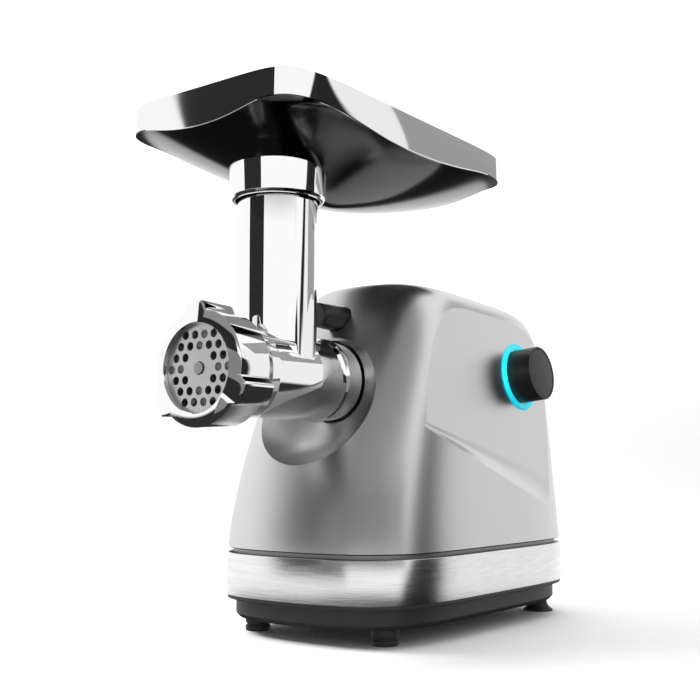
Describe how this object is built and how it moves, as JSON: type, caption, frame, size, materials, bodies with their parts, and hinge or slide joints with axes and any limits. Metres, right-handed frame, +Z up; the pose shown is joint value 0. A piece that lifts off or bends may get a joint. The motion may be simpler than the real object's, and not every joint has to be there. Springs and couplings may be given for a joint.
{
  "type": "electric meat grinder",
  "caption": "Countertop electric meat grinder with a silver housing, chrome head, upright feed tube, flared hopper tray, perforated outlet plate and side speed knob.",
  "frame": {"origin": "middle of the whole box, on the surface that the feet stand on", "axes": "+Z up, -Y towards the outlet, +X towards the speed knob"},
  "size_m": [0.1776, 0.3647, 0.357],
  "materials": {
    "housing_paint": "satin metallic silver-grey",
    "band_steel": "brushed along its length",
    "black_plastic": "fine-grained matte",
    "foot_rubber": "matte",
    "screw_steel": "zinc-plated",
    "lamp_light": "lit cyan light guide",
    "board": "green solder mask",
    "cast_case": "as cast",
    "bronze": "sintered bronze",
    "lamination": "stacked electrical steel",
    "carbon": "pressed carbon",
    "copper": "enamelled copper wire",
    "gear_steel": "turned",
    "gear_nylon": "natural nylon",
    "auger_metal": "polished casting",
    "plate_steel": "ground",
    "head_metal": "mirror polished",
    "tray_metal": "mirror polished",
    "knob_plastic": "satin black",
    "knob_cap_metal": "dark, spun"
  },
  "bodies": {
    "base": {"housing_shell": "housing_paint", "trim_band": "band_steel", "base_pan": "black_plastic", "front_foot_left": "foot_rubber", "front_foot_right": "foot_rubber", "rear_foot_left": "foot_rubber", "rear_foot_right": "foot_rubber", "base_screw_1": "screw_steel", "base_screw_2": "screw_steel", "base_screw_3": "screw_steel", "base_screw_4": "screw_steel", "cord_gland": "foot_rubber", "lamp_ring": "lamp_light", "rotary_switch": "black_plastic", "control_board": "board", "gearbox_case": "cast_case", "gearbox_cover": "cast_case", "cover_screw_1": "screw_steel", "cover_screw_2": "screw_steel", "cover_screw_3": "screw_steel", "cover_screw_4": "screw_steel", "output_bush": "bronze", "motor_stator": "lamination", "field_winding_front": "copper", "field_winding_rear": "copper", "carbon_brush_left": "carbon", "carbon_brush_right": "carbon", "motor_bracket": "cast_case", "rear_bearing": "bronze", "latch_guide": "cast_case"},
    "drive": {"output_shaft": "gear_steel", "output_gear": "gear_nylon", "auger": "auger_metal", "cross_knife": "plate_steel"},
    "countershaft": {"counter_shaft": "gear_steel", "counter_gear": "gear_nylon"},
    "motor": {"motor_shaft": "gear_steel", "rotor_core": "lamination", "commutator": "copper", "cooling_fan": "black_plastic"},
    "head": {"head_body": "head_metal", "auger_bush": "gear_nylon", "perforated_plate": "plate_steel"},
    "ring": {"screw_ring": "head_metal"},
    "tray": {"hopper_tray": "tray_metal", "tray_collar": "tray_metal"},
    "knob": {"knob": "knob_plastic", "knob_cap": "knob_cap_metal", "switch_spindle": "gear_steel"},
    "release": {"release_button": "knob_plastic", "latch_bolt": "gear_steel", "release_spring": "gear_steel"}
  },
  "joints": [
    {"name": "auger_spin", "type": "hinge", "parent": "base", "child": "drive", "pos_m": [-0.00293, -0.0295, 0.1775], "axis": [0, 1, 0], "continuous": true},
    {"name": "countershaft_spin", "type": "hinge", "parent": "base", "child": "countershaft", "pos_m": [-0.00293, -0.0295, 0.1369], "axis": [0, 1, 0], "continuous": true},
    {"name": "motor_spin", "type": "hinge", "parent": "base", "child": "motor", "pos_m": [-0.00293, -0.0295, 0.1054], "axis": [0, 1, 0], "continuous": true},
    {"name": "head_turn", "type": "hinge", "parent": "base", "child": "head", "pos_m": [-0.00293, -0.0295, 0.1775], "axis": [0, 1, 0], "range_deg": [0, 45]},
    {"name": "ring_turn", "type": "hinge", "parent": "head", "child": "ring", "pos_m": [-0.00293, -0.1825, 0.1775], "axis": [0, -1, 0], "range_deg": [0, 720]},
    {"name": "tray_lift", "type": "slide", "parent": "head", "child": "tray", "axis": [0, 0, 1], "range_m": [0, 0.06]},
    {"name": "knob_turn", "type": "hinge", "parent": "base", "child": "knob", "pos_m": [0.06675, 0.1075, 0.188], "axis": [0.994, 0, 0.1093], "range_deg": [-45, 45]},
    {"name": "release_press", "type": "slide", "parent": "base", "child": "release", "axis": [0, 1, 0], "range_m": [0, 0.005], "stiffness_N_per_m": 300, "deforming": ["release_spring"]}
  ],
  "couplings": [
    {"joint": "countershaft_spin", "follows": "auger_spin", "ratio": -4.8},
    {"joint": "motor_spin", "follows": "auger_spin", "ratio": 28.8}
  ]
}
